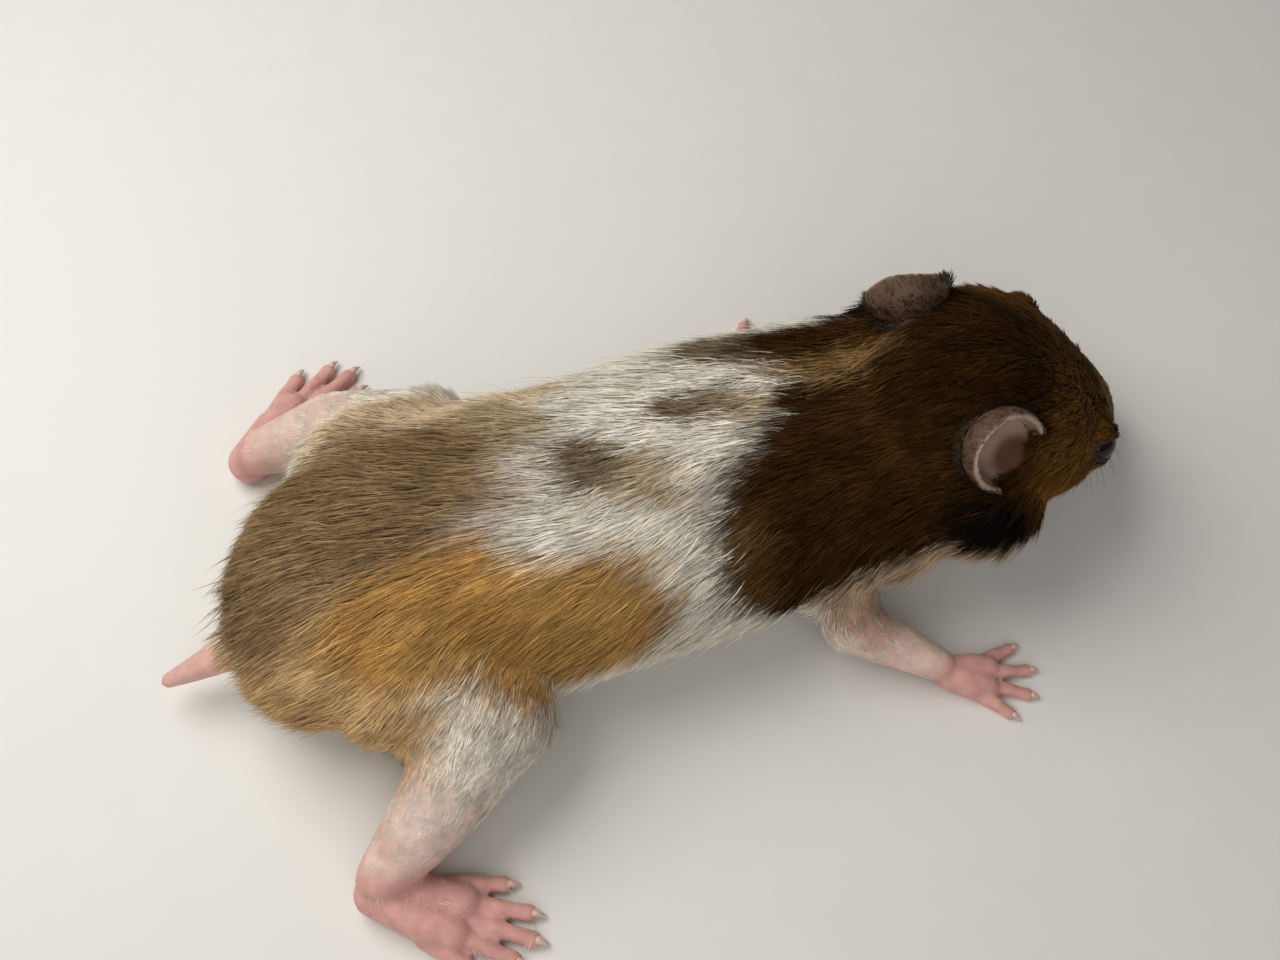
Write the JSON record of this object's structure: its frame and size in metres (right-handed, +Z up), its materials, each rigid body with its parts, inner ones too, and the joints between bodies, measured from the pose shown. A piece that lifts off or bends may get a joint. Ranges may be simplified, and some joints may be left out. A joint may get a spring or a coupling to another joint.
{
  "type": "hamster pup figure",
  "caption": "Still, life-size figure of a Syrian hamster pup, eyes just open, crawling on its belly with its hind legs spread and a short banded golden and white coat.",
  "frame": {"origin": "middle of the small flat under the belly, on the floor", "axes": "+X from tail to nose along the body, +Y to the pup's left, +Z up from the floor"},
  "size_m": [0.0724, 0.049, 0.0196],
  "materials": {
    "coat_mantle": "short dark golden-brown fur",
    "coat_saddle": "short fur, agouti and golden on the rump with a white band",
    "coat_white": "sparse short white fur over pink skin",
    "bare_skin": "bare pink skin, satin",
    "bare_ear": "thin pinkish grey skin, satin",
    "eye": "wet gloss"
  },
  "bodies": {
    "root": {"head": "coat_mantle", "neck": "coat_mantle", "trunk": "coat_saddle", "tail": "bare_skin", "foreleg_right": "coat_white", "foreleg_left": "coat_white", "forefoot_right": "bare_skin", "forefoot_left": "bare_skin", "hindleg_right": "coat_white", "hindleg_left": "coat_white", "hindfoot_right": "bare_skin", "hindfoot_left": "bare_skin", "ear_right": "bare_ear", "ear_left": "bare_ear", "eye_right": "eye", "eye_left": "eye"}
  },
  "joints": []
}
